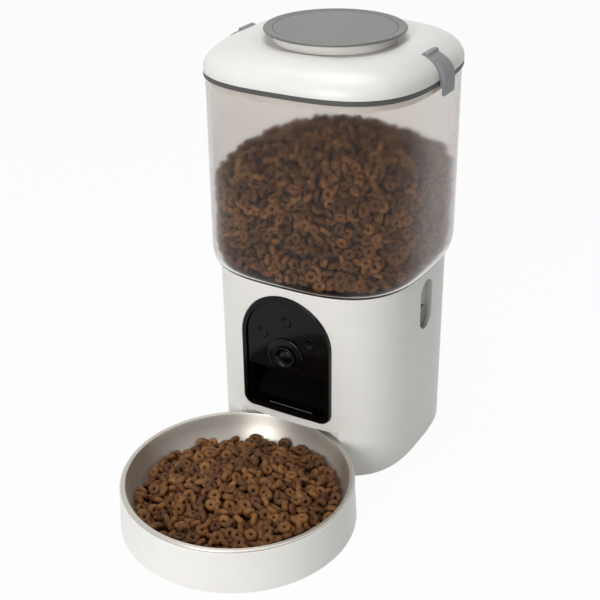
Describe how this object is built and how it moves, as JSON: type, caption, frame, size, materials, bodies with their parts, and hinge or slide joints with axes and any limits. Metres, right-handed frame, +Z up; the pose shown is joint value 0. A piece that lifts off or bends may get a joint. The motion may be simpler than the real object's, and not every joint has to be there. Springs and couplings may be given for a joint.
{
  "type": "automatic pet feeder with camera",
  "caption": "Automatic dry-food pet feeder with a translucent hopper, a latched lid, a camera panel with buttons, a geared rotor and chute, and a steel bowl in a docked holder.",
  "frame": {"origin": "centre of the bounding box on the table, between the tower and the bowl", "axes": "+Z up; -Y to the front, where the bowl and the camera are; +X to the object's left as it faces the viewer's right"},
  "size_m": [0.1946, 0.3516, 0.3587],
  "materials": {
    "white_plastic": "warm white ABS, satin to gloss",
    "smoky_plastic": "smoky translucent moulding, gloss outside",
    "dark_silicone": "dark grey silicone, satin",
    "grey_plastic": "mid grey, fine matte texture",
    "latch_plastic": "grey, satin",
    "gloss_black": "piano black, polished",
    "satin_black": "black, satin",
    "lens_glass": "dark coated lens glass",
    "brushed_steel": "stainless steel, spun inside",
    "bright_steel": "plated steel",
    "rubber": "dark rubber, matte",
    "pale_silicone": "pale silicone, matte",
    "green_board": "green solder-masked board",
    "natural_plastic": "undyed plastic, matte",
    "cell_wrap": "dry cell in a plain dark sleeve"
  },
  "bodies": {
    "base": {"base_shell": "white_plastic", "bowl_dock": "white_plastic", "bottom_cover": "white_plastic", "foot_front_left": "rubber", "foot_rear_left": "rubber", "foot_front_right": "rubber", "foot_rear_right": "rubber", "cover_screw_1": "bright_steel", "cover_screw_2": "bright_steel", "cover_screw_3": "bright_steel", "cover_screw_4": "bright_steel", "battery_tray": "natural_plastic", "battery_cell_1": "cell_wrap", "battery_cell_2": "cell_wrap", "battery_cell_3": "cell_wrap", "panel_bezel": "gloss_black", "panel_face": "gloss_black", "camera_ring": "gloss_black", "camera_barrel": "gloss_black", "lens_glass": "lens_glass", "camera_board": "green_board", "button_mat": "pale_silicone", "button_board": "green_board", "status_light": "pale_silicone", "hopper_deck": "white_plastic", "chute": "satin_black", "drive_bracket": "natural_plastic", "gear_motor": "bright_steel", "main_board": "green_board", "radio_module": "bright_steel", "speaker": "satin_black", "power_socket": "satin_black"},
    "hopper": {"hopper": "smoky_plastic", "rim_band": "dark_silicone", "portion_shield": "natural_plastic"},
    "rotor": {"dispensing_rotor": "pale_silicone", "stirrer": "natural_plastic"},
    "lid": {"lid_shell": "white_plastic", "latch_pin_left": "bright_steel", "latch_pin_right": "bright_steel", "desiccant_cup": "natural_plastic"},
    "cap": {"cap_collar": "white_plastic", "cap_rim": "grey_plastic", "cap_disc": "grey_plastic"},
    "latch_left": {"latch_left": "latch_plastic"},
    "latch_right": {"latch_right": "latch_plastic"},
    "holder": {"bowl_holder": "white_plastic", "holder_pad": "rubber"},
    "bowl": {"bowl": "brushed_steel"},
    "drive": {"drive_gear": "natural_plastic"},
    "pinion": {"motor_pinion": "bright_steel"},
    "battery_door": {"battery_door": "white_plastic"},
    "button_left": {"button_left": "gloss_black"},
    "button_top": {"button_top": "gloss_black"},
    "button_right": {"button_right": "gloss_black"},
    "release_button_left": {"release_button_left": "grey_plastic"},
    "release_button_right": {"release_button_right": "grey_plastic"}
  },
  "joints": [
    {"name": "hopper_lift", "type": "slide", "parent": "base", "child": "hopper", "axis": [0, 0, 1], "range_m": [0, 0.08]},
    {"name": "rotor_spin", "type": "hinge", "parent": "hopper", "child": "rotor", "pos_m": [0, 0.08295, 0.1362], "axis": [0, 0, 1], "continuous": true},
    {"name": "lid_lift", "type": "slide", "parent": "hopper", "child": "lid", "axis": [0, 0, 1], "range_m": [0, 0.06]},
    {"name": "latch_left_swing", "type": "hinge", "parent": "lid", "child": "latch_left", "pos_m": [-0.08076, 0.08295, 0.34533], "axis": [0, 1, 0], "range_deg": [0, 70]},
    {"name": "latch_right_swing", "type": "hinge", "parent": "lid", "child": "latch_right", "pos_m": [0.08076, 0.08295, 0.34533], "axis": [0, -1, 0], "range_deg": [0, 70]},
    {"name": "cap_turn", "type": "hinge", "parent": "lid", "child": "cap", "pos_m": [0, 0.08295, 0.352], "axis": [0, 0, 1], "range_deg": [0, 45]},
    {"name": "drive_spin", "type": "hinge", "parent": "base", "child": "drive", "pos_m": [0, 0.08295, 0.111], "axis": [0, 0, 1], "continuous": true},
    {"name": "pinion_spin", "type": "hinge", "parent": "base", "child": "pinion", "pos_m": [0, 0.10095, 0.111], "axis": [0, 0, 1], "continuous": true},
    {"name": "holder_slide", "type": "slide", "parent": "base", "child": "holder", "axis": [0, -1, 0], "range_m": [0, 0.12]},
    {"name": "bowl_lift", "type": "slide", "parent": "holder", "child": "bowl", "axis": [0, 0, 1], "range_m": [0, 0.005]},
    {"name": "battery_door_slide", "type": "slide", "parent": "base", "child": "battery_door", "axis": [0, 1, 0], "range_m": [0, 0.008]},
    {"name": "button_left_press", "type": "slide", "parent": "base", "child": "button_left", "axis": [0, 1, 0], "range_m": [0, 0.001], "stiffness_N_per_m": 300},
    {"name": "button_top_press", "type": "slide", "parent": "base", "child": "button_top", "axis": [0, 1, 0], "range_m": [0, 0.001], "stiffness_N_per_m": 300},
    {"name": "button_right_press", "type": "slide", "parent": "base", "child": "button_right", "axis": [0, 1, 0], "range_m": [0, 0.001], "stiffness_N_per_m": 300},
    {"name": "release_left_press", "type": "slide", "parent": "base", "child": "release_button_left", "axis": [1, 0, 0], "range_m": [0, 0.003], "stiffness_N_per_m": 500},
    {"name": "release_right_press", "type": "slide", "parent": "base", "child": "release_button_right", "axis": [-1, 0, 0], "range_m": [0, 0.003], "stiffness_N_per_m": 500}
  ],
  "couplings": [
    {"joint": "drive_spin", "follows": "rotor_spin", "ratio": 1},
    {"joint": "pinion_spin", "follows": "rotor_spin", "ratio": -2}
  ]
}
